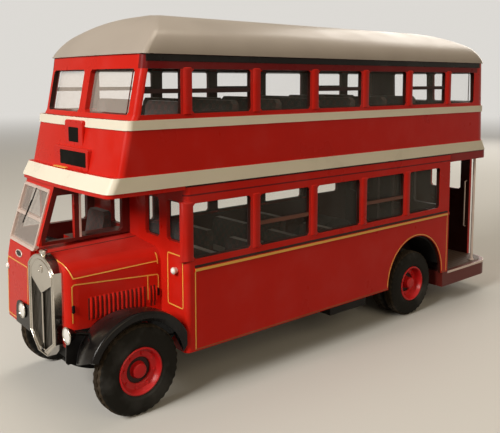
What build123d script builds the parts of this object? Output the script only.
from build123d import *
import os
from math import cos, radians, sin

# A small display model, 1:76, of a half-cab double decker bus with an open rear platform.
# Millimetres. +X is the way the bus drives, +Y its nearside (left), +Z up. The origin is on
# the ground under the middle of the bounding box. Only the two wheelsets turn.

# ---- driving dimensions -------------------------------------------------------------------
# lengthways, each place from the radiator backwards
RAD_X = 49.9                # back face of the radiator
AXLE_SETBACK = 7.6          # front axle behind it
BONNET_LENGTH = 15.3
WHEELBASE = 65.2
PLATFORM_SETBACK = 9.6      # platform's front behind the rear axle
PLATFORM_LENGTH = 19.15
FRONT_AXLE_X = RAD_X - AXLE_SETBACK
REAR_AXLE_X = FRONT_AXLE_X - WHEELBASE
BULKHEAD_X = RAD_X - BONNET_LENGTH              # front face of the saloon
PLATFORM_X = REAR_AXLE_X - PLATFORM_SETBACK     # step up from the platform into the saloon
REAR_X = PLATFORM_X - PLATFORM_LENGTH           # platform and lower rear panel

# body plan
HALF_WIDTH = 15.0           # over the bands and beads
BEAD_PROUD = 0.15           # bands and beads stand out this far
WALL = 0.8                  # metal panels
LOWER_FRONT_R = 0.9         # plan radii
LOWER_REAR_R = 4.0
UPPER_FRONT_R = 1.0
UPPER_REAR_R = 4.0
CANOPY_R = 1.2
FRONT_BOW = 0.7             # how far the upper front bulges in plan

# running gear
TYRE_R = 6.7                # tyre outer radius
TYRE_WIDTH = 2.9
TYRE_SHOULDER = 0.7
RIM_R = 3.6                 # wheel disc outer radius, tyre bore
TWIN_GAP = 0.3              # between the two tyres of a rear pair
TWIN_GROOVE = 1.6           # how deep the gap shows
AXLE_R = 1.0
AXLE_END = 0.6              # axle end short of the tyre's outer face
RUNNING_GAP = 0.05          # radial, axle in its bearers
FIT_GAP = 0.02              # radial, hub on axle and tyre on hub
FRONT_INSET = 0.5           # outer face of a front tyre inside the body's side
REAR_INSET = 0.9
RIM_LIP = 0.5               # radial width of the rim's flat lip
HUB_R = 1.9                 # foot of the hub on the web
HUB_HEIGHT = 0.6

# levels above the ground
APRON_Z = 4.2               # lower edge of the platform's apron
SKIRT_Z = 7.4               # lower edge of the side panels, top of the platform
RAIL_TOP_Z = 9.6            # top of the chassis rails, underside of bonnet and cab
FLOOR_Z = 10.6              # top of the saloon floor
FLOOR_THICK = 1.0
CAB_FLOOR_Z = 16.2
WAIST_Z = 19.95             # underside of the waist bead
WAIST_BEAD = 0.5
LOWER_SILL_Z = WAIST_Z + 1.9
LOWER_HEAD_Z = 30.4
CANOPY_DROP = 0.6           # lip under the deck band, ahead of the saloon
DECK_BAND_Z = LOWER_HEAD_Z + 2.8        # underside of the upper deck's floor and its band
DECK_THICK = 2.15
DECK_TOP_Z = DECK_BAND_Z + DECK_THICK
UPPER_BAND_Z = DECK_TOP_Z + 6.45
UPPER_BAND_H = 1.38
UPPER_SILL_Z = UPPER_BAND_Z + 2.1
UPPER_HEAD_Z = UPPER_SILL_Z + 6.5
CANTRAIL_Z = UPPER_HEAD_Z + 2.1         # top of the upper side panels, underside of the roof
ROOF_RISE = 6.8             # roof crown above the cantrail
ROOF_SHOULDER_R = 4.2       # side radius of the roof's section
ROOF_EAVE = 0.1             # roof stands out past the bands at the sides
ROOF_CLEAR = 0.02           # plan outline outside the arch, so that only its corners cut
ROOF_LAP = 0.3              # and past the panels at front and rear
DOME_FRONT = 12.3           # length of the domed ends
DOME_REAR = 12.3

# upper deck: height, front at the centre line, rear
UPPER_FRONT = (
    (DECK_TOP_Z, RAD_X - 3.7, REAR_X + 2.75),
    (UPPER_BAND_Z, RAD_X - 5.1, REAR_X + 3.05),
    (UPPER_SILL_Z, RAD_X - 6.3, REAR_X + 3.25),
    (UPPER_HEAD_Z, RAD_X - 7.6, REAR_X + 3.55),
    (CANTRAIL_Z, RAD_X - 7.9, REAR_X + 3.65),
)
CANOPY_LIP = 0.9            # the deck band stands this far in front of the panel above it
CANOPY_FLARE = 1.1          # and this much more at its underside

# windows
PILLAR_X = BULKHEAD_X - 0.4             # centre of the foremost side pillar
LAST_PILLAR_X = PLATFORM_X - 0.05
BAYS = 5                                # equal bays between those two
PILLAR_WIDTH = 2.0
REAR_POST_FRONT = PLATFORM_X + 1.9      # front edge of the wide post ahead of the platform
REAR_POST_BACK = PLATFORM_X - 1.8
REAR_QUARTER = 10.0         # length of the last upper window and the post behind pillar 5
SCREEN_POST = 0.9           # upper corner post ahead of the quarter window
SCREEN_CORNER = 1.65        # and beside the front panes
SCREEN_PILLAR = 2.0         # between the front panes
WINDOW_CORNER = 0.4
GLASS = 0.4                 # clear plastic inside the walls
GLASS_LAP = 0.6             # glass behind the frame all round
LOWER_BAR = 3.4             # sliding light's bar above the sill, lower deck
UPPER_BAR = 3.0             # the same, upper deck
BAR_HEIGHT = 0.65
BAR_DEPTH = 0.4
LOWER_OPENS = (False, True, False, True, False)     # bays with an opening light, from the front
UPPER_OPENS = (True, False, True, False, True, False)

# entrance at the nearside rear corner
ENTRANCE_WIDTH = 5.6        # open end of the rear, from the nearside
POLE_R = 0.3
POLE_X = REAR_X + 5.15
POLE_IN = 1.8               # pole inside the nearside edge

# bonnet
BONNET_REAR_Y = 7.9         # nearside face at the bulkhead
BONNET_FRONT_Y = 7.0        # and at the radiator
BONNET_OFF_Y = -4.0         # bonnet meets the cab
BONNET_TOP_Z = 23.5         # at the cab
BONNET_FALL = 1.1           # top lower than that at the nearside
BONNET_NOSE_FALL = 0.5      # and lower again at the radiator
BONNET_SHOULDER = 2.4
BONNET_FRONT_R = 1.2
LOUVRES = 13
LOUVRE_Z = (13.3, 17.0)
LOUVRE_ANGLE = 24.0

# radiator
RAD_DEPTH = 1.4
RAD_Y = 0.9                 # its centre line is nearside of the bus's
RAD_HALF = 4.6
RAD_SIDE_Z = 10.2
RAD_TIP_Z = 7.6
RAD_TIP_HALF = 1.6
RAD_TOP_Z = 22.9
RAD_ARCH = 2.0              # rise of its arched top
RAD_FRAME = 0.9
RAD_RECESS = 1.0            # how far the grille lies in the shell
RAD_GRILLE_Z = 19.4         # underside of the header tank at the sides
RAD_HEADER_DIP = 2.4        # and how much lower it is in the middle
RAD_SLATS = 15
RAD_CAP_R = 0.55
RAD_CAP_H = 0.6

# cab: z, x of the slanted front at its inner wall and at its offside edge
CAB_IN_Y = -1.5             # cab wall above the bonnet
CAB_FRONT = (
    (RAIL_TOP_Z, RAD_X + 1.4, RAD_X + 0.9),
    (20.0, RAD_X + 1.2, RAD_X + 0.7),
    (22.2, RAD_X + 1.0, RAD_X + 0.3),
    (DECK_BAND_Z - CANOPY_DROP, RAD_X - 2.2, RAD_X - 3.1),
)
CAB_FRONT_R = 1.2
CAB_POST = 0.9              # windscreen post, and its distance from the side windows
SCREEN_Z = (BONNET_TOP_Z - 0.9, DECK_BAND_Z - 1.3)     # windscreen opening
SCREEN_BAR_Z = BONNET_TOP_Z + 3.7
SCREEN_FRAME = 0.45
CAB_WINDOW_Z = (BONNET_TOP_Z + 0.5, DECK_BAND_Z - 2.2)
CAB_PILLAR_X = (RAD_X - 6.5, RAD_X - 5.4)
CAB_ARCH_IN = 7.2           # how far the wheel arch reaches into the cab's side
CAB_ARCH_R = 8.0
CAB_ARCH_Z = 7.2
ARCH_R = 9.0                # wheel cut in the side panels
ARCH_Z = 7.9

# front wings
WING_R = 9.0
WING_THICK = 0.6
WING_WIDTH = 4.4            # offside wing, outside the cab's arch
WING_TOE = (FRONT_AXLE_X + 8.6, 7.4)    # x, z of the nearside wing's front edge
WING_TOE_RISE = 3.0         # toe higher at its outer corner
OFF_WING_ARC = (172, 90, 18)    # degrees from rear to front, ends at the cab's underside

# lamps: place and radius
HEADLAMPS = ((9.7, 13.0), (-6.5, 12.4))     # y, z
HEADLAMP_R = 1.25
HEADLAMP_FRONT = RAD_X + 1.75
HEADLAMP_LENGTH = 1.5
STEM_R = 0.35               # headlamp stem, from inside the lamp into the wing
STEM_LENGTH = 3.4
SIDELAMPS = ((12.3, 19.9), (-13.9, 18.0))   # y, z
SIDELAMP_R = 0.55
SIDELAMP_LENGTH = 1.0

# chassis
GEARBOX_X = BULKHEAD_X - 16.6           # its back face
MID_CROSS_X = GEARBOX_X - 14.0          # cross member behind the gearbox
RAIL_Y = 4.7                # inner face of a rail
RAIL_FRONT = RAD_X - 0.3
RAIL_WIDTH = 1.6
RAIL_DEPTH = 1.8
CROSS_HALF = 0.6            # half length of a cross member
SPRING_HALF = 8.0
SPRING_DIP = 2.9
SPRING_EYE = 1.6
LEAF_STACK = 0.9
LEAF_HALF = 0.6
BEARER_HALF = 1.9
SUMP_Z = 4.7
SUMP_X = (FRONT_AXLE_X - 8.6, FRONT_AXLE_X - 1.8)
SUMP_Y = (-2.2, 3.4)
SHAFT_R = 0.6
SHAFT_Y = 0.5

# seats
SEAT_PITCH = 9.3
SEAT_WIDTH = 10.6
SEAT_HEIGHT = 10.2
SEAT_CUSHION = 5.2
SEAT_BACK = 1.2
SEAT_CLEAR = 0.3            # off the glass
DRIVER_X = BULKHEAD_X + 1.6
DRIVER_Y = -9.0
DRIVER_SEAT = 6.0

FRONT_TRACK_OUT = HALF_WIDTH - FRONT_INSET
REAR_TRACK_OUT = HALF_WIDTH - REAR_INSET
PANEL_HALF = HALF_WIDTH - BEAD_PROUD
INNER_HALF = PANEL_HALF - WALL
ENTRANCE_Y = HALF_WIDTH - ENTRANCE_WIDTH
CANOPY_Z = DECK_BAND_Z - CANOPY_DROP
FLOOR_BASE_Z = FLOOR_Z - FLOOR_THICK
PILLARS = [PILLAR_X + i * (LAST_PILLAR_X - PILLAR_X) / BAYS for i in range(BAYS + 1)]
FAR = 80.0                  # beyond every part, for cutters

PARTS = {}


# ---- helpers --------------------------------------------------------------------------------
def block(x, y, z):
    """A box from its (low, high) pairs."""
    size = [high - low for low, high in (x, y, z)]
    middle = [(low + high) / 2 for low, high in (x, y, z)]
    return Pos(*middle) * Box(*size)


def slab(low, high):
    """Everything between two heights."""
    return block((-FAR, FAR), (-FAR, FAR), (low, high))


def mirrored(side, low, high):
    """A (low, high) pair across the bus, on the near (1) or off (-1) side."""
    return tuple(sorted((side * low, side * high)))


def plan(z, front, rear, half, bow=0.0, front_r=0.0, rear_r=0.0):
    """Body outline at one height: straight rear and sides, a bowed front, rounded corners."""
    corner = front - bow
    edges = [Line((rear, -half), (rear, half)), Line((rear, half), (corner, half)),
             Line((corner, -half), (rear, -half))]
    if bow > 0:
        edges.append(ThreePointArc((corner, half), (front, 0), (corner, -half)))
    else:
        edges.append(Line((corner, half), (corner, -half)))
    face = make_face(edges)
    if rear_r > 0:
        face = fillet(face.vertices().sort_by(Axis.X)[:2], rear_r)
    if front_r > 0:
        face = fillet(face.vertices().sort_by(Axis.X)[-2:], front_r)
    return Pos(0, 0, z) * face


def shifted_plan(z, front, rear, inset):
    """Upper deck outline moved inwards by inset."""
    return plan(z, front - inset, rear + inset, PANEL_HALF - inset, FRONT_BOW,
                UPPER_FRONT_R - inset / 2, UPPER_REAR_R - inset)


def upper_solid(inset, low=None, high=None):
    """The upper deck's raked form as one solid, moved inwards by inset."""
    body = loft([shifted_plan(z, front, rear, inset) for z, front, rear in UPPER_FRONT], ruled=True)
    if low is None:
        return body
    return body & slab(low, high)


def front_at(z, sections):
    """X of a raked front at height z, between its sections."""
    for (z0, x0), (z1, x1) in zip(sections, sections[1:]):
        if z0 <= z <= z1:
            return x0 + (x1 - x0) * (z - z0) / (z1 - z0)
    return sections[-1][1]


UPPER_LINE = [(z, front) for z, front, _ in UPPER_FRONT]


def side_window(x, z, y_side):
    """A cutter with eased corners for a window in a side wall."""
    width, height = x[1] - x[0], z[1] - z[0]
    outline = Plane.XZ * chamfer(Rectangle(width, height).vertices(), WINDOW_CORNER)
    cutter = extrude(outline, amount=3 * WALL, both=True)
    return Pos((x[0] + x[1]) / 2, y_side, (z[0] + z[1]) / 2) * cutter


def end_window(y, z, x_wall, depth=3.0):
    """The same for a window in a front or rear wall."""
    width, height = y[1] - y[0], z[1] - z[0]
    outline = Plane.YZ * chamfer(Rectangle(width, height).vertices(), WINDOW_CORNER)
    cutter = extrude(outline, amount=depth, both=True)
    return Pos(x_wall, (y[0] + y[1]) / 2, (z[0] + z[1]) / 2) * cutter


def bays(count, first=0):
    """(rear, front) edges of the side windows between the pillars."""
    pairs = zip(PILLARS[first:first + count], PILLARS[first + 1:first + count + 1])
    return [(behind + PILLAR_WIDTH / 2, ahead - PILLAR_WIDTH / 2) for ahead, behind in pairs]


# ---- lower deck -----------------------------------------------------------------------------
def lower_windows():
    """Lower side windows; the last one ends at the wide post."""
    rows = bays(BAYS)
    rows[-1] = (REAR_POST_FRONT, rows[-1][1])
    return rows


def light_bars(rows, opens, z, side):
    """Bars of the opening lights, set in the wall's thickness."""
    y = mirrored(side, INNER_HALF + BAR_DEPTH / 2, INNER_HALF + 1.5 * BAR_DEPTH)
    lap = WINDOW_CORNER
    opening = [row for row, opened in zip(rows, opens) if opened]
    return [block((rear - lap, front + lap), y, (z, z + BAR_HEIGHT)) for rear, front in opening]


def arch_cutter(axle_x, y, z, radius):
    """Round-topped cutter over a wheel, centred at height z and open at the bottom."""
    drum = Rot(90, 0, 0) * Cylinder(radius, y[1] - y[0])
    drum = Pos(axle_x, (y[0] + y[1]) / 2, z) * drum
    return drum + block((axle_x - radius, axle_x + radius), y, (0, z))


def lower_shell():
    """Saloon and staircase walls in one, before they are split where the panels meet."""
    outer = extrude(plan(SKIRT_Z, BULKHEAD_X, REAR_X, PANEL_HALF, 0, LOWER_FRONT_R, LOWER_REAR_R),
                    amount=DECK_BAND_Z - SKIRT_Z)
    inner = extrude(plan(SKIRT_Z, BULKHEAD_X - WALL, REAR_X + WALL, INNER_HALF, 0,
                         max(LOWER_FRONT_R - WALL, 0), LOWER_REAR_R - WALL), amount=DECK_BAND_Z - SKIRT_Z)
    shell = outer - inner
    shell -= block((-FAR, REAR_POST_BACK), (ENTRANCE_Y, FAR), (0, FAR))
    for side in (1, -1):
        y_wall = side * (PANEL_HALF - WALL / 2)
        for x in lower_windows():
            shell -= side_window(x, (LOWER_SILL_Z, LOWER_HEAD_Z), y_wall)
        for bar in light_bars(lower_windows(), LOWER_OPENS, LOWER_SILL_Z + LOWER_BAR, side):
            shell += bar
        shell -= arch_cutter(REAR_AXLE_X, mirrored(side, INNER_HALF - WALL, HALF_WIDTH + WALL), ARCH_Z, ARCH_R)
    return shell


def waist_bead(side, x):
    """Half-round moulding along the waist."""
    return block(x, mirrored(side, PANEL_HALF, HALF_WIDTH), (WAIST_Z, WAIST_Z + WAIST_BEAD))


BULKHEAD_LIGHTS = ((3.5, 7.6), (9.7, PANEL_HALF - 1.3))     # y of its nearside windows
BULKHEAD_LIGHT_Z = LOWER_SILL_Z + 2.4
CAB_BACK_LIGHT = (-8.0, -2.4)
REAR_LIGHT = (-1.5, 7.0)


def lower_panels():
    shell = lower_shell()
    split_y = PANEL_HALF - LOWER_FRONT_R
    bead_front = BULKHEAD_X - 1.6
    PARTS["lower_nearside_panel"] = (shell & block((-FAR, FAR), (split_y, FAR), (0, FAR))
                                     ) + waist_bead(1, (REAR_POST_BACK, bead_front))
    rear_split = REAR_X + LOWER_REAR_R
    PARTS["lower_offside_panel"] = (shell & block((rear_split, FAR), (-FAR, -split_y), (0, FAR))
                                    ) + waist_bead(-1, (rear_split, bead_front))
    rear = shell & block((-FAR, rear_split), (-FAR, split_y), (0, FAR))
    rear -= end_window(REAR_LIGHT, (LOWER_SILL_Z + 1, LOWER_HEAD_Z), REAR_X + WALL / 2)
    PARTS["lower_rear_panel"] = rear
    front = shell & block((0, FAR), (-split_y, split_y), (0, FAR))
    front -= block((0, FAR), (-split_y + WALL, BONNET_REAR_Y - WALL), (0, FLOOR_Z))
    for y in (CAB_BACK_LIGHT,) + BULKHEAD_LIGHTS:
        front -= end_window(y, (BULKHEAD_LIGHT_Z, LOWER_HEAD_Z + 0.2), BULKHEAD_X)
    PARTS["front_bulkhead"] = front


DOORWAY = (-4.0, 4.6)       # y of the opening into the saloon


def rear_bulkhead():
    """Partition between saloon and platform, with the doorway and a light either side."""
    wall = block((REAR_POST_BACK, REAR_POST_BACK + WALL), (-INNER_HALF, INNER_HALF), (SKIRT_Z, DECK_BAND_Z))
    wall -= block((-FAR, 0), DOORWAY, (FLOOR_Z, LOWER_HEAD_Z + 0.6))
    for y in ((-INNER_HALF + 1.6, DOORWAY[0] - 1.6), (DOORWAY[1] + 1.6, INNER_HALF - 1.6)):
        wall -= end_window(y, (LOWER_SILL_Z, LOWER_HEAD_Z), REAR_POST_BACK)
    return wall


WHEEL_BOX_CLEAR = 0.6       # inside the inner tyre


def wheel_box_y():
    return REAR_TRACK_OUT - 2 * TYRE_WIDTH - TWIN_GAP - WHEEL_BOX_CLEAR


def saloon_floor():
    """Flat floor with the rear wheels' places cut out."""
    floor = extrude(plan(FLOOR_BASE_Z, BULKHEAD_X - WALL, REAR_POST_BACK + WALL, INNER_HALF, 0,
                         max(LOWER_FRONT_R - WALL, 0)), amount=FLOOR_THICK)
    for side in (1, -1):
        floor -= block((REAR_AXLE_X - ARCH_R, REAR_AXLE_X + ARCH_R), mirrored(side, wheel_box_y(), FAR), (0, FAR))
    return floor


def wheel_boxes():
    """Rounded housings over the rear wheels, inside the saloon."""
    boxes = []
    skin = WALL / 2
    for side in (1, -1):
        y = mirrored(side, wheel_box_y(), INNER_HALF)
        y_in = mirrored(side, wheel_box_y() + skin, FAR)
        drum = Pos(REAR_AXLE_X, (y[0] + y[1]) / 2, ARCH_Z) * Rot(90, 0, 0) * Cylinder(ARCH_R, y[1] - y[0])
        hollow = Pos(REAR_AXLE_X, (y_in[0] + y_in[1]) / 2, ARCH_Z)
        hollow *= Rot(90, 0, 0) * Cylinder(ARCH_R - skin, y_in[1] - y_in[0])
        boxes.append((drum - hollow) & slab(FLOOR_BASE_Z, FAR))
    return boxes


def seat(x, y, z, width):
    """One bench seat facing forward, its raked back towards -X."""
    cushion, half_back = SEAT_CUSHION, SEAT_BACK / 2
    with BuildSketch(Plane.XZ) as profile:
        with BuildLine():
            Polyline((0, 0), (cushion, 0), (cushion + 0.4, cushion), (1.6, cushion - 0.5),
                     (half_back, SEAT_HEIGHT), (-half_back, SEAT_HEIGHT), (-0.4, cushion), (0, 0))
        make_face()
    bench = extrude(profile.sketch, amount=width / 2, both=True)
    bench = chamfer(bench.edges().filter_by(Axis.X).group_by(Axis.Z)[-1], half_back)
    return Pos(x, y, z) * bench


def seat_rows(first, count, z):
    """Pairs of benches either side of the gangway."""
    seats = []
    limit = INNER_HALF - GLASS - SEAT_CLEAR
    for row in range(count):
        for side in (1, -1):
            y = side * (limit - SEAT_WIDTH / 2)
            seats.append(seat(first - row * SEAT_PITCH, y, z, SEAT_WIDTH))
    return seats


def platform():
    """Open rear platform: a floor with an apron round it."""
    outline = plan(APRON_Z, PLATFORM_X, REAR_X, PANEL_HALF, 0, 0, LOWER_REAR_R)
    under = plan(APRON_Z, PLATFORM_X - WALL, REAR_X + WALL, INNER_HALF, 0, 0, LOWER_REAR_R - WALL)
    depth = SKIRT_Z - APRON_Z
    return extrude(outline, amount=depth) - extrude(under, amount=depth - WALL)


def platform_pole():
    return Pos(POLE_X, HALF_WIDTH - POLE_IN, SKIRT_Z) * Cylinder(
        POLE_R, DECK_BAND_Z - SKIRT_Z, align=(Align.CENTER, Align.CENTER, Align.MIN))


# stairs wind round a newel from the platform up into the upper deck's stairwell
STEPS = 8
NEWEL_X, NEWEL_Y = REAR_X + 11.05, -5.2
NEWEL_R = 0.5
STAIR_START = 140.0         # direction of the first riser from the newel, degrees
STAIR_SWEEP = 200.0
STAIR_REACH = 16.0
TREAD = 1.0
STAIRWELL = ((REAR_X + 4.65, REAR_POST_BACK + 0.6), (-INNER_HALF + 0.6, -2.6))


def staircase():
    """Winding treads cut to the rear offside corner, each resting on the one below."""
    rise = (DECK_BAND_Z - SKIRT_Z) / STEPS
    room = extrude(plan(SKIRT_Z, REAR_POST_BACK, REAR_X + WALL, INNER_HALF, 0, 0,
                        LOWER_REAR_R - WALL), amount=DECK_BAND_Z - SKIRT_Z)
    stairs = None
    for step in range(STEPS):
        a0 = radians(STAIR_START + step * STAIR_SWEEP / STEPS)
        a1 = radians(STAIR_START + (step + 1) * STAIR_SWEEP / STEPS)
        corners = [(NEWEL_X, NEWEL_Y)]
        corners += [(NEWEL_X + STAIR_REACH * cos(a), NEWEL_Y + STAIR_REACH * sin(a)) for a in (a0, a1)]
        wedge = make_face(Polyline(*corners, close=True))
        low = SKIRT_Z + (step * rise - TREAD if step else 0)
        tread = Pos(0, 0, low) * extrude(wedge, amount=SKIRT_Z + (step + 1) * rise - low)
        tread = tread & room
        stairs = tread if stairs is None else stairs + tread
    newel = Pos(NEWEL_X, NEWEL_Y, SKIRT_Z) * Cylinder(NEWEL_R, DECK_BAND_Z - SKIRT_Z,
                                                     align=(Align.CENTER, Align.CENTER, Align.MIN))
    return stairs + newel


# ---- upper deck -----------------------------------------------------------------------------
def upper_floor():
    """Upper deck floor; its edge is the light band, standing out as a canopy at the front."""
    front, rear = UPPER_FRONT[0][1:]
    lip = front + CANOPY_LIP
    top = plan(DECK_TOP_Z, lip, rear - BEAD_PROUD, HALF_WIDTH, FRONT_BOW, CANOPY_R, UPPER_REAR_R)
    low = plan(DECK_BAND_Z, lip + CANOPY_FLARE, REAR_X + 1.2, HALF_WIDTH, FRONT_BOW, CANOPY_R, UPPER_REAR_R)
    drop = plan(CANOPY_Z, lip + CANOPY_FLARE - BEAD_PROUD, 0, PANEL_HALF, FRONT_BOW, CANOPY_R)
    lip_under = extrude(drop, amount=CANOPY_DROP) & block((BULKHEAD_X, FAR), (-FAR, FAR), (0, FAR))
    floor = loft([low, top], ruled=True) + lip_under
    return floor - block(*STAIRWELL, (CANOPY_Z, FAR))


def quarter_window(side):
    """Foremost upper side window, its front edge raked with the corner post."""
    rake = [(front_at(z, UPPER_LINE) - FRONT_BOW - SCREEN_POST, z) for z in (UPPER_SILL_Z, UPPER_HEAD_Z)]
    back = PILLARS[0] + PILLAR_WIDTH / 2
    outline = Plane.XZ * make_face(Polyline((back, UPPER_SILL_Z), *rake, (back, UPPER_HEAD_Z), close=True))
    return Pos(0, side * PANEL_HALF, 0) * extrude(outline, amount=2 * WALL, both=True)


def upper_band():
    """The narrow band under the upper windows, a ledge at the front."""
    edge = front_at(UPPER_BAND_Z, UPPER_LINE) + BEAD_PROUD
    rear = UPPER_FRONT[1][2] - BEAD_PROUD
    rings = [plan(z, edge - back, rear, HALF_WIDTH, FRONT_BOW, UPPER_FRONT_R, UPPER_REAR_R)
             for z, back in ((UPPER_BAND_Z, 0.0), (UPPER_BAND_Z + UPPER_BAND_H, BEAD_PROUD))]
    return loft(rings, ruled=True) - upper_solid(WALL)


BLINDS = (                  # centre y, width, low z, high z of the sign boxes
    (0.4, 8.6, DECK_TOP_Z + 0.55, DECK_TOP_Z + 2.75),
    (0.1, 3.0, UPPER_BAND_Z - 2.5, UPPER_BAND_Z - 0.3),
)
BLIND_FRAME = 0.5
BLIND_PROUD = 0.25
REAR_PANES = ((-11.0, -0.8), (0.8, 11.0))


def upper_windows():
    """Upper side windows behind the quarter light, the last one the rear quarter."""
    return bays(BAYS) + [(PILLARS[BAYS] - REAR_QUARTER, PILLARS[BAYS] - PILLAR_WIDTH / 2)]


def upper_panels():
    shell = upper_solid(0) - upper_solid(WALL) + upper_band()
    bar_z = UPPER_SILL_Z + UPPER_BAR
    quarter_bar = (PILLARS[0], front_at(bar_z, UPPER_LINE) - FRONT_BOW - SCREEN_POST)
    for side in (1, -1):
        for x in upper_windows():
            shell -= side_window(x, (UPPER_SILL_Z, UPPER_HEAD_Z), side * (PANEL_HALF - WALL / 2))
        shell -= quarter_window(side)
        for bar in light_bars(upper_windows() + [quarter_bar], UPPER_OPENS + (True,), bar_z, side):
            shell += bar
        pane = mirrored(side, SCREEN_PILLAR / 2, PANEL_HALF - SCREEN_CORNER)
        shell -= end_window(pane, (UPPER_SILL_Z, UPPER_HEAD_Z), UPPER_FRONT[2][1])
    for y in REAR_PANES:
        shell -= end_window(y, (UPPER_SILL_Z, UPPER_HEAD_Z), UPPER_FRONT[2][2])
    for y, width, low, high in BLINDS:
        x_face = front_at((low + high) / 2, UPPER_LINE)
        half = width / 2 + BLIND_FRAME
        frame = block((x_face - WALL, x_face + BLIND_PROUD), (y - half, y + half),
                      (low - BLIND_FRAME, high + BLIND_FRAME))
        shell += frame - upper_solid(WALL)
        shell -= block((x_face - 4 * WALL, FAR), (y - width / 2, y + width / 2), (low, high))
    corner = PANEL_HALF - UPPER_FRONT_R
    front_cut, rear_cut = PILLARS[0] + PILLAR_WIDTH, PILLARS[BAYS] - REAR_QUARTER - PILLAR_WIDTH / 2
    PARTS["upper_front_panel"] = shell & block((front_cut, FAR), (-corner, corner), (0, FAR))
    PARTS["upper_rear_panel"] = shell & block((-FAR, rear_cut), (-FAR, FAR), (0, FAR))
    PARTS["upper_nearside_panel"] = shell & block((rear_cut, FAR), (corner, FAR), (0, FAR))
    PARTS["upper_offside_panel"] = shell & block((rear_cut, FAR), (-FAR, -corner), (0, FAR))


def blind_plates():
    """Blank black blinds in the sign boxes."""
    plates = []
    for y, width, low, high in BLINDS:
        x_face = front_at(high, UPPER_LINE)
        plates.append(block((x_face - WALL - GLASS, x_face - GLASS), (y - width / 2, y + width / 2), (low, high)))
    return plates


def roof_section(half, rise, shoulder):
    """Three-centred arch: small side arcs tangent to one broad crown arc."""
    crown = ((half - shoulder) ** 2 + rise ** 2 - shoulder ** 2) / (2 * (rise - shoulder))
    drop = rise - crown
    reach = crown / (crown - shoulder)
    touch_y, touch_z = (half - shoulder) * reach, drop - drop * reach
    with BuildSketch(Plane.YZ) as section:
        with BuildLine():
            RadiusArc((-half, 0), (-touch_y, touch_z), shoulder)
            ThreePointArc((-touch_y, touch_z), (0, rise), (touch_y, touch_z))
            RadiusArc((touch_y, touch_z), (half, 0), shoulder)
            Line((half, 0), (-half, 0))
        make_face()
    return section.sketch


def roof_form(inset):
    """Cambered roof meeting a domed front at a crease, and a domed rear."""
    half, rise = HALF_WIDTH + ROOF_EAVE - inset, ROOF_RISE - inset
    barrel = Pos(-FAR, 0, CANTRAIL_Z) * extrude(roof_section(half, rise, ROOF_SHOULDER_R - inset), amount=2 * FAR)
    front, rear = UPPER_FRONT[-1][1] + ROOF_LAP - inset, UPPER_FRONT[-1][2] - ROOF_LAP + inset
    with BuildSketch(Plane.XZ) as side:
        with BuildLine():
            crown_f, crown_r = (front - DOME_FRONT + inset, rise), (rear + DOME_REAR - inset, rise)
            Line(crown_r, crown_f)
            TangentArc(crown_f, (front, 0), tangent=(1, 0))
            Line((front, 0), (rear, 0))
            TangentArc(crown_r, (rear, 0), tangent=(-1, 0))
        make_face()
    profile = Pos(0, 0, CANTRAIL_Z) * extrude(side.sketch, amount=FAR, both=True)
    outline = plan(CANTRAIL_Z, front, rear, half + ROOF_CLEAR, FRONT_BOW, UPPER_FRONT_R, UPPER_REAR_R)
    return barrel & profile & extrude(outline, amount=rise)


def roof():
    return roof_form(0) - roof_form(WALL)


# ---- glazing ---------------------------------------------------------------------------------
def strip(x, side, z):
    """Flat clear strip just inside a side wall."""
    return block(x, mirrored(side, INNER_HALF - GLASS, INNER_HALF), z)


def glazing():
    low_z = (LOWER_SILL_Z - GLASS_LAP, LOWER_HEAD_Z + GLASS_LAP)
    low_x = (REAR_POST_BACK + WALL, BULKHEAD_X - WALL - GLASS)
    ring = upper_solid(WALL) - upper_solid(WALL + GLASS)
    ring = ring & slab(UPPER_SILL_Z - GLASS_LAP, UPPER_HEAD_Z + GLASS_LAP)
    inside = INNER_HALF - GLASS - FIT_GAP
    rear_cut = PILLARS[BAYS] - REAR_QUARTER - GLASS_LAP
    for name, side in (("nearside", 1), ("offside", -1)):
        PARTS["lower_%s_glass" % name] = strip(low_x, side, low_z)
        PARTS["upper_%s_glass" % name] = ring & block((rear_cut, FAR), mirrored(side, inside, FAR), (0, FAR))
    PARTS["upper_front_glass"] = ring & block((0, FAR), (-inside, inside), (0, FAR))
    wide = REAR_PANES[1][1] + GLASS_LAP
    PARTS["upper_rear_glass"] = ring & block((-FAR, rear_cut), (-wide, wide), (0, FAR))


# ---- cab, bonnet and front ---------------------------------------------------------------------
def cab_front_at(z, y):
    """X of the cab's slanted front at a height and a place across."""
    inner, outer = (front_at(z, [(row[0], row[edge]) for row in CAB_FRONT]) for edge in (1, 2))
    return inner + (outer - inner) * (CAB_IN_Y - y) / (CAB_IN_Y + PANEL_HALF)


def cab_solid(inset):
    """Raked cab form: outer faces moved inwards by inset, open to the bulkhead."""
    faces = []
    y0, y1 = -PANEL_HALF + inset, CAB_IN_Y - inset
    for z, _, _ in CAB_FRONT:
        corners = [(BULKHEAD_X, y0), (cab_front_at(z, y0) - inset, y0), (cab_front_at(z, y1) - inset, y1),
                   (BULKHEAD_X, y1)]
        face = make_face(Polyline(*corners, close=True))
        off_corner = face.vertices().filter_by_position(Axis.X, BULKHEAD_X + 1, FAR).sort_by(Axis.Y)[0]
        faces.append(Pos(0, 0, z) * fillet(off_corner, CAB_FRONT_R - inset))
    return loft(faces, ruled=True)


def cab_light(y_side, back, reach):
    """Cutter for the cab's foremost side window, raked with the windscreen post."""
    low, high = CAB_WINDOW_Z
    rake = [(cab_front_at(z, y_side) - reach, z) for z in (low, high)]
    outline = Plane.XZ * make_face(Polyline((back, low), *rake, (back, high), close=True))
    return Pos(0, y_side, 0) * extrude(outline, amount=2 * WALL, both=True)


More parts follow.
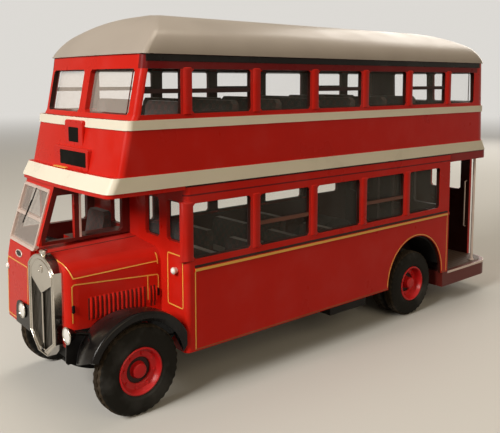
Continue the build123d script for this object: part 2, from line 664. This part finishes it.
def screen_y():
    """Sides of the windscreen opening."""
    return -PANEL_HALF + CAB_POST, CAB_IN_Y - CAB_POST


def cab_body():
    """Driver's cab: solid step over the wheel, hollow above, windows on four sides."""
    over_bonnet = block((0, FAR), (BONNET_OFF_Y, FAR), (0, BONNET_TOP_Z))
    near_bonnet = block((0, FAR), (BONNET_OFF_Y - WALL, FAR), (0, CAB_WINDOW_Z[0]))
    room = cab_solid(WALL) & slab(CAB_FLOOR_Z, FAR)
    cab = (cab_solid(0) - over_bonnet) - (room - near_bonnet)
    cab -= arch_cutter(FRONT_AXLE_X, (-HALF_WIDTH - WALL, -PANEL_HALF + CAB_ARCH_IN), CAB_ARCH_Z, CAB_ARCH_R)
    cab -= end_window(screen_y(), SCREEN_Z, CAB_FRONT[2][1] - 2, 4.0)
    door_back = BULKHEAD_X + 1.4
    for y_side, reach in ((-PANEL_HALF, CAB_POST / 2 + CAB_FRONT_R), (CAB_IN_Y, CAB_POST)):
        cab -= cab_light(y_side, CAB_PILLAR_X[1], reach)
        cab -= side_window((door_back, CAB_PILLAR_X[0]), CAB_WINDOW_Z, y_side)
    return cab


def bonnet_side(x):
    """Y of the bonnet's tapered nearside face."""
    return BONNET_REAR_Y + (BONNET_FRONT_Y - BONNET_REAR_Y) * (x - BULKHEAD_X) / (RAD_X - BULKHEAD_X)


def bonnet_form():
    """Tapered bonnet: sections at the bulkhead and the radiator with a round shoulder."""
    faces = []
    for x, nose in ((BULKHEAD_X, 0.0), (RAD_X, BONNET_NOSE_FALL)):
        y, top = bonnet_side(x), BONNET_TOP_Z - nose
        face = make_face(Polyline((BONNET_OFF_Y, RAIL_TOP_Z), (y, RAIL_TOP_Z), (y, top - BONNET_FALL),
                                  (BONNET_OFF_Y, top), close=True))
        shoulder = face.vertices().filter_by_position(Axis.Y, RAIL_TOP_Z + 1, FAR).sort_by(Axis.X)[-1]
        faces.append(Pos(x, 0, 0) * (Plane.YZ * fillet(shoulder, BONNET_SHOULDER)))
    corners = Polyline((BULKHEAD_X, BONNET_OFF_Y), (RAD_X, BONNET_OFF_Y), (RAD_X, BONNET_FRONT_Y),
                       (BULKHEAD_X, BONNET_REAR_Y), close=True)
    outline = make_face(corners)
    nose_corner = outline.vertices().filter_by_position(Axis.X, RAD_X - 1, FAR).sort_by(Axis.Y)[-1]
    outline = fillet(nose_corner, BONNET_FRONT_R)
    return loft(faces, ruled=True) & extrude(outline, amount=FAR)


def bonnet():
    """Bonnet beside the cab with pressed louvres in its tapered side."""
    body = bonnet_form()
    first, last = BULKHEAD_X + 2.9, RAD_X - 3.2
    pitch = (last - first) / LOUVRES
    for i in range(LOUVRES):
        x = first + (i + 0.5) * pitch
        blade = Rot(0, 0, LOUVRE_ANGLE) * Box(pitch * 0.75, GLASS, LOUVRE_Z[1] - LOUVRE_Z[0])
        body += Pos(x, bonnet_side(x), sum(LOUVRE_Z) / 2) * blade
    return body


def radiator_outline(inset, x, depth):
    """Radiator form seen from the front: upright sides, arched top, tapering to a low tip."""
    half, top, spring_z = RAD_HALF - inset, RAD_TOP_Z - inset, RAD_TOP_Z - RAD_ARCH - inset
    tip = RAD_TIP_HALF - inset / 2
    with BuildSketch(Plane.YZ) as face:
        with BuildLine():
            Line((-half, RAD_SIDE_Z), (-half, spring_z))
            ThreePointArc((-half, spring_z), (0, top), (half, spring_z))
            Polyline((half, spring_z), (half, RAD_SIDE_Z), (tip, RAD_TIP_Z + inset),
                     (-tip, RAD_TIP_Z + inset), (-half, RAD_SIDE_Z))
        make_face()
    return Pos(x, RAD_Y, 0) * extrude(face.sketch, amount=depth)


def grille_space(inset, x, depth):
    """Opening of the radiator shell below its header tank, whose lower edge dips to a point."""
    half = RAD_HALF
    cut = Polyline((-half, 0), (half, 0), (half, RAD_GRILLE_Z - inset), (0, RAD_GRILLE_Z - RAD_HEADER_DIP - inset),
                   (-half, RAD_GRILLE_Z - inset), close=True)
    below = Pos(0, RAD_Y, 0) * extrude(Plane.YZ * make_face(cut), amount=FAR)
    return radiator_outline(RAD_FRAME + inset, x, depth) & below


def radiator_shell():
    """Plated shell with its header tank and filler cap."""
    shell = radiator_outline(0, RAD_X, RAD_DEPTH)
    shell -= grille_space(0, RAD_X + RAD_DEPTH - RAD_RECESS, RAD_DEPTH)
    cap = Pos(RAD_X + RAD_DEPTH - RAD_CAP_R, RAD_Y, RAD_TOP_Z - RAD_CAP_H) * Cylinder(
        RAD_CAP_R, 2 * RAD_CAP_H, align=(Align.CENTER, Align.CENTER, Align.MIN))
    return shell + (cap & block((RAD_X, FAR), (-FAR, FAR), (0, FAR)))


def radiator_core():
    """Upright slats with a centre bar, set back in the shell."""
    back = RAD_X + RAD_DEPTH - RAD_RECESS
    slat_depth, bar_depth = RAD_RECESS * 0.6, RAD_RECESS * 0.8
    core = grille_space(FIT_GAP, back, RAD_RECESS * 0.2)
    full = grille_space(FIT_GAP, back, RAD_RECESS)
    pitch = 2 * (RAD_HALF - RAD_FRAME) / RAD_SLATS
    for i in range(RAD_SLATS):
        y = RAD_Y - RAD_HALF + RAD_FRAME + (i + 0.5) * pitch
        depth = bar_depth if i == RAD_SLATS // 2 else slat_depth
        core += block((back, back + depth), (y - pitch / 4, y + pitch / 4), (0, FAR)) & full
    return core


def lamp(x, y, z):
    """A headlamp facing forward: rim, drum and a coned back."""
    with BuildSketch(Plane.XZ) as half:
        with BuildLine():
            Polyline((0, 0), (0, HEADLAMP_R * 0.88), (-0.15, HEADLAMP_R), (-HEADLAMP_LENGTH * 0.35, HEADLAMP_R),
                     (-HEADLAMP_LENGTH * 0.8, HEADLAMP_R * 0.7), (-HEADLAMP_LENGTH, HEADLAMP_R * 0.3),
                     (-HEADLAMP_LENGTH, 0), (0, 0))
        make_face()
    return Pos(x, y, z) * revolve(half.sketch, axis=Axis.X)


def headlamps():
    """Two headlamps: the nearside one on a stem from the wing, the other in the cab panel."""
    (near_y, near_z), (off_y, off_z) = HEADLAMPS
    stem = Pos(HEADLAMP_FRONT - HEADLAMP_LENGTH / 2, near_y, near_z) * Rot(0, -90, 0) * Cylinder(
        STEM_R, STEM_LENGTH, align=(Align.CENTER, Align.CENTER, Align.MIN))
    near = (lamp(HEADLAMP_FRONT, near_y, near_z) + stem) - near_wing()
    return [near.solids().sort_by(Axis.X)[-1], lamp(HEADLAMP_FRONT, off_y, off_z) - cab_solid(0)]


def sidelamps():
    """Small round lamps on the nearside of the bulkhead and on the cab front."""
    (near_y, near_z), (off_y, off_z) = SIDELAMPS
    lamps = []
    for x_back, y, z in ((BULKHEAD_X, near_y, near_z), (cab_front_at(off_z, off_y) - SIDELAMP_LENGTH / 2, off_y, off_z)):
        body = Cylinder(SIDELAMP_R, SIDELAMP_LENGTH, align=(Align.CENTER, Align.CENTER, Align.MIN))
        body = chamfer(body.edges().group_by(Axis.Z)[-1], 0.2)
        lamps.append(Pos(x_back, y, z) * Rot(0, 90, 0) * body - cab_solid(0))
    return lamps


WING_CREST_Y = FRONT_TRACK_OUT - TYRE_WIDTH
WING_SECTION = (            # y and height above the wing's radius, from the outer edge inwards
    (HALF_WIDTH, -1.0), (HALF_WIDTH, -0.35), (HALF_WIDTH - 0.4, 0.0), (WING_CREST_Y, 0.0),
    (BONNET_FRONT_Y + 2.6, -0.8), (BONNET_FRONT_Y, -2.1),
)


def axle_circle(radius, height, angle):
    """Point round the front axle, in the XZ plane."""
    return FRONT_AXLE_X + radius * cos(radians(angle)), height + radius * sin(radians(angle))


def near_wing():
    """Nearside mudguard swept over the wheel and down to a toe, falling inwards to the bonnet."""
    rear, top, ahead = (axle_circle(WING_R, TYRE_R, angle) for angle in (172, 110, 50))
    with BuildLine(Plane.XZ) as path:
        over = ThreePointArc(rear, top, ahead)
        TangentArc(over @ 1, WING_TOE, tangent=over % 1)
    inner_skin = [(y, r - WING_THICK) for y, r in reversed(WING_SECTION[3:])]
    edge = HALF_WIDTH - WING_THICK
    outline = Polyline(*WING_SECTION, *inner_skin, (edge, -WING_THICK), (edge, WING_SECTION[0][1]), close=True)
    start = Plane(origin=path.line @ 0, x_dir=(0, 1, 0), z_dir=path.line % 0)
    wing = sweep(start * make_face(outline), path=path.line)
    toe_z = WING_TOE[1]
    toe = make_face(Polyline((0, 0), (FAR, 0), (HALF_WIDTH, toe_z + WING_TOE_RISE), (BONNET_FRONT_Y, toe_z),
                             (0, toe_z), close=True))
    ahead_of_tyre = Pos(FRONT_AXLE_X + TYRE_R, 0, 0) * extrude(Plane.YZ * toe, amount=FAR)
    return (wing & block((BULKHEAD_X, FAR), (0, FAR), (0, FAR))) - ahead_of_tyre - bonnet()


def off_wing():
    """Flange lining the arch in the cab's side."""
    outer = CAB_ARCH_R - FIT_GAP
    with BuildSketch(Plane.XZ) as ring:
        with BuildLine():
            rim = ThreePointArc(*(axle_circle(outer, CAB_ARCH_Z, angle) for angle in OFF_WING_ARC))
            lip = ThreePointArc(*(axle_circle(outer - WING_THICK, CAB_ARCH_Z, angle) for angle in reversed(OFF_WING_ARC)))
            Line(rim @ 1, lip @ 0)
            Line(lip @ 1, rim @ 0)
        make_face()
    wing = Pos(0, -HALF_WIDTH + WING_WIDTH / 2, 0) * extrude(ring.sketch, amount=WING_WIDTH / 2, both=True)
    return wing & block((BULKHEAD_X, FAR), (-FAR, 0), (0, FAR))


def front_wings():
    """Black mudguards over the front wheels."""
    return [near_wing(), off_wing()]


def windscreen_frame():
    """Bright frame of the driver's screen, with a bar across, on the cab's slant."""
    low, high = SCREEN_Z
    ends = screen_y()
    faces = []
    for y in ends:
        rake = [(cab_front_at(z, y) + out, z) for z, out in
                ((low, -SCREEN_FRAME), (low, SCREEN_FRAME / 2), (high, SCREEN_FRAME / 2), (high, -SCREEN_FRAME))]
        faces.append(Pos(0, y, 0) * (Plane.XZ * make_face(Polyline(*rake, close=True))))
    frame = loft(faces, ruled=True) & end_window(ends, SCREEN_Z, CAB_FRONT[2][1] - 2, 4.0)
    half_bar = SCREEN_FRAME / 2
    for z in ((low + SCREEN_FRAME, SCREEN_BAR_Z - half_bar), (SCREEN_BAR_Z + half_bar, high - SCREEN_FRAME)):
        frame -= block((0, FAR), (ends[0] + SCREEN_FRAME, ends[1] - SCREEN_FRAME), z)
    return frame


def cab_glass():
    """Clear panes inside the cab's side windows and the nearside lights of the bulkhead."""
    z = (CAB_WINDOW_Z[0] + FIT_GAP, CAB_WINDOW_Z[1] + GLASS_LAP / 2)
    x = (BULKHEAD_X + FIT_GAP, CAB_PILLAR_X[0] + GLASS_LAP)
    panes = [strip(x, -1, z), block(x, (CAB_IN_Y - WALL - GLASS, CAB_IN_Y - WALL), z)]
    y = (BULKHEAD_LIGHTS[0][0] - GLASS_LAP, BULKHEAD_LIGHTS[-1][1] + GLASS_LAP / 2)
    panes.append(block((BULKHEAD_X - WALL - GLASS, BULKHEAD_X - WALL), y,
                       (BULKHEAD_LIGHT_Z - GLASS_LAP, LOWER_HEAD_Z + GLASS_LAP)))
    return panes


def driver_seat():
    return seat(DRIVER_X, DRIVER_Y, CAB_FLOOR_Z, DRIVER_SEAT)


STEERING_R = 2.3
STEERING_RIM = 0.35
STEERING_Z = 22.4
STEERING_BACK = 5.4         # its centre behind the cab's front
STEERING_RAKE = -20


def steering_wheel():
    """Wheel on a raked column standing on the cab floor."""
    rim = Cylinder(STEERING_R, STEERING_RIM) - Cylinder(STEERING_R - STEERING_RIM, 2 * STEERING_RIM)
    reach = 2 * STEERING_R - STEERING_RIM
    spokes = Box(reach, STEERING_RIM, STEERING_RIM) + Box(STEERING_RIM, reach, STEERING_RIM)
    column = Cylinder(STEERING_RIM, STEERING_Z, align=(Align.CENTER, Align.CENTER, Align.MAX))
    x = cab_front_at(STEERING_Z, DRIVER_Y) - STEERING_BACK
    wheel = Pos(x, DRIVER_Y, STEERING_Z) * Rot(0, STEERING_RAKE, 0) * (rim + spokes + column)
    return wheel & slab(CAB_FLOOR_Z, FAR)


# ---- chassis ----------------------------------------------------------------------------------
def chassis_rails():
    """Ladder frame: two rails and its cross members."""
    z = (RAIL_TOP_Z - RAIL_DEPTH, RAIL_TOP_Z)
    frame = block((PLATFORM_X, RAIL_FRONT), (RAIL_Y, RAIL_Y + RAIL_WIDTH), z)
    frame += block((PLATFORM_X, RAIL_FRONT), (-RAIL_Y - RAIL_WIDTH, -RAIL_Y), z)
    for x in (PLATFORM_X + CROSS_HALF, REAR_AXLE_X + 10.9, MID_CROSS_X, GEARBOX_X, BULKHEAD_X - 1.6,
              RAIL_FRONT - CROSS_HALF):
        frame += block((x - CROSS_HALF, x + CROSS_HALF), (-RAIL_Y, RAIL_Y), z)
    return frame


def spring(axle_x, side):
    """Leaf spring under a rail, its bearer bored for the axle."""
    top = RAIL_TOP_Z - RAIL_DEPTH
    dip = top - SPRING_DIP
    eye = SPRING_HALF - SPRING_EYE
    with BuildSketch(Plane.XZ) as leaf:
        with BuildLine():
            outer = ThreePointArc((-SPRING_HALF, top), (0, dip), (SPRING_HALF, top))
            inner = ThreePointArc((eye, top), (0, dip + LEAF_STACK), (-eye, top))
            Line(outer @ 1, inner @ 0)
            Line(inner @ 1, outer @ 0)
        make_face()
    body = extrude(leaf.sketch, amount=LEAF_HALF, both=True)
    body += block((-BEARER_HALF, BEARER_HALF), (-LEAF_HALF, LEAF_HALF), (dip, top))
    body -= Pos(0, 0, TYRE_R) * Rot(90, 0, 0) * Cylinder(AXLE_R + RUNNING_GAP, 4 * LEAF_HALF)
    return Pos(axle_x, side * (RAIL_Y + RAIL_WIDTH / 2), 0) * body


def springs(axle_x):
    return [spring(axle_x, side) for side in (1, -1)]


GEARBOX_DROP = 0.9          # its underside above the sump's


def driveline():
    """Engine sump, gearbox and propeller shaft, cast with the base."""
    under = RAIL_TOP_Z - RAIL_DEPTH
    sump = block(SUMP_X, SUMP_Y, (SUMP_Z, under))
    sump = chamfer(sump.edges().filter_by(Axis.X).group_by(Axis.Z)[0], 0.8)
    gearbox = block((GEARBOX_X, SUMP_X[0]), (SUMP_Y[0] + 0.6, SUMP_Y[1] - 0.8), (SUMP_Z + GEARBOX_DROP, under))
    shaft = Pos(GEARBOX_X, SHAFT_Y, (SUMP_Z + GEARBOX_DROP + under) / 2) * Rot(0, -90, 0) * Cylinder(
        SHAFT_R, GEARBOX_X - REAR_AXLE_X - AXLE_R - SHAFT_R, align=(Align.CENTER, Align.CENTER, Align.MIN))
    return sump + gearbox + shaft


TANK_X, TANK_IN_Y, TANK_Z = (MID_CROSS_X, MID_CROSS_X + 16.0), -7.4, 4.6
BATTERY_X, BATTERY_IN_Y, BATTERY_Z = (MID_CROSS_X - 12.0, MID_CROSS_X - 2.0), 7.4, 5.6


def fuel_tank():
    tank = block(TANK_X, (-INNER_HALF, TANK_IN_Y), (TANK_Z, FLOOR_BASE_Z))
    return chamfer(tank.edges().filter_by(Axis.X).group_by(Axis.Z)[0], 1.0)


def battery_box():
    return block(BATTERY_X, (BATTERY_IN_Y, INNER_HALF), (BATTERY_Z, FLOOR_BASE_Z))


# ---- wheelsets ----------------------------------------------------------------------------------
def tyre_outline(width):
    """Section of a tyre as (radius, y) rows, outer face at y = 0 with its shoulder cut back."""
    shoulder, side = TYRE_R - TYRE_SHOULDER, TYRE_SHOULDER * 0.55
    return [(RIM_R, 0), (shoulder, 0), (TYRE_R, -side)], [(TYRE_R, -width), (RIM_R, -width)]


def turned(points, axle_x, outer_y, side):
    """Turn a (radius, y) section about the axle's line and place it on one side."""
    solid = revolve(make_face(Polyline(*points, close=True)), axis=Axis.Y)
    if side < 0:
        solid = Rot(180, 0, 0) * solid
    return Pos(axle_x, side * outer_y, TYRE_R) * solid


def single_tyre(side):
    outer, inner = tyre_outline(TYRE_WIDTH)
    return turned(outer + inner, FRONT_AXLE_X, FRONT_TRACK_OUT, side)


def twin_tyre(side):
    """Rear pair, joined at the bottom of the groove between them."""
    width = 2 * TYRE_WIDTH + TWIN_GAP
    outer, inner = tyre_outline(width)
    lip = TWIN_GAP / 2 + TYRE_SHOULDER * 0.55
    groove = [(TYRE_R, -width / 2 + lip), (TYRE_R - TWIN_GROOVE, -width / 2), (TYRE_R, -width / 2 - lip)]
    return turned(outer + groove + inner, REAR_AXLE_X, REAR_TRACK_OUT, side)


def hub(axle_x, outer_y, side, width, dish):
    """Wheel disc: rim, web set in by dish and a hub standing out of it."""
    r_in, r_out = AXLE_R + FIT_GAP, RIM_R - FIT_GAP
    return turned([(r_in, -width), (r_out, -width), (r_out, 0), (r_out - RIM_LIP, 0),
                   (r_out - RIM_LIP - 0.2, -dish), (HUB_R, -dish), (HUB_R - 0.3, -dish + HUB_HEIGHT),
                   (r_in, -dish + HUB_HEIGHT)], axle_x, outer_y, side)


def axle(axle_x, outer_y):
    return Pos(axle_x, 0, TYRE_R) * Rot(90, 0, 0) * Cylinder(AXLE_R, 2 * (outer_y - AXLE_END))


FRONT_DISH, REAR_DISH = 0.8, 1.5


def wheelsets():
    PARTS["front_axle"] = axle(FRONT_AXLE_X, FRONT_TRACK_OUT)
    PARTS["front_tyres"] = [single_tyre(side) for side in (1, -1)]
    PARTS["front_hubs"] = [hub(FRONT_AXLE_X, FRONT_TRACK_OUT, side, TYRE_WIDTH, FRONT_DISH) for side in (1, -1)]
    PARTS["rear_axle"] = axle(REAR_AXLE_X, REAR_TRACK_OUT)
    PARTS["rear_tyres"] = [twin_tyre(side) for side in (1, -1)]
    twin = 2 * TYRE_WIDTH + TWIN_GAP
    PARTS["rear_hubs"] = [hub(REAR_AXLE_X, REAR_TRACK_OUT, side, twin, REAR_DISH) for side in (1, -1)]


# ---- assembly -------------------------------------------------------------------------------------
def build():
    lower_panels()
    PARTS["rear_bulkhead"] = rear_bulkhead()
    PARTS["lower_floor"] = saloon_floor()
    PARTS["wheel_boxes"] = wheel_boxes()
    PARTS["lower_seats"] = seat_rows(BULKHEAD_X - 8.6, 4, FLOOR_Z)
    PARTS["platform"] = platform()
    PARTS["platform_pole"] = platform_pole()
    PARTS["staircase"] = staircase()
    PARTS["upper_floor"] = upper_floor()
    PARTS["upper_seats"] = seat_rows(BULKHEAD_X - 1.6, 7, DECK_TOP_Z)
    upper_panels()
    PARTS["blinds"] = blind_plates()
    PARTS["roof"] = roof()
    glazing()
    PARTS["cab_body"] = cab_body()
    PARTS["windscreen_frame"] = windscreen_frame()
    PARTS["cab_glass"] = cab_glass()
    PARTS["driver_seat"] = driver_seat()
    PARTS["steering_wheel"] = steering_wheel()
    PARTS["bonnet"] = bonnet()
    PARTS["radiator_shell"] = radiator_shell()
    PARTS["radiator_core"] = radiator_core()
    PARTS["headlamps"] = headlamps()
    PARTS["sidelamps"] = sidelamps()
    PARTS["front_wings"] = front_wings()
    PARTS["chassis_rails"] = chassis_rails()
    PARTS["front_springs"] = springs(FRONT_AXLE_X)
    PARTS["rear_springs"] = springs(REAR_AXLE_X)
    PARTS["driveline"] = driveline()
    PARTS["fuel_tank"] = fuel_tank()
    PARTS["battery_box"] = battery_box()
    wheelsets()


def write(name, shape):
    """One STEP per node; several solids of one node go in as a compound."""
    if isinstance(shape, list):
        shape = Compound(children=[Compound(s.solids()) if len(s.solids()) > 1 else s.solids()[0]
                                   for s in shape])
    elif len(shape.solids()) == 1:
        shape = shape.solids()[0]
    else:
        shape = Compound(shape.solids())
    export_step(shape, "parts/%s.step" % name)


os.makedirs("parts", exist_ok=True)
build()
for part_name, part_shape in PARTS.items():
    write(part_name, part_shape)
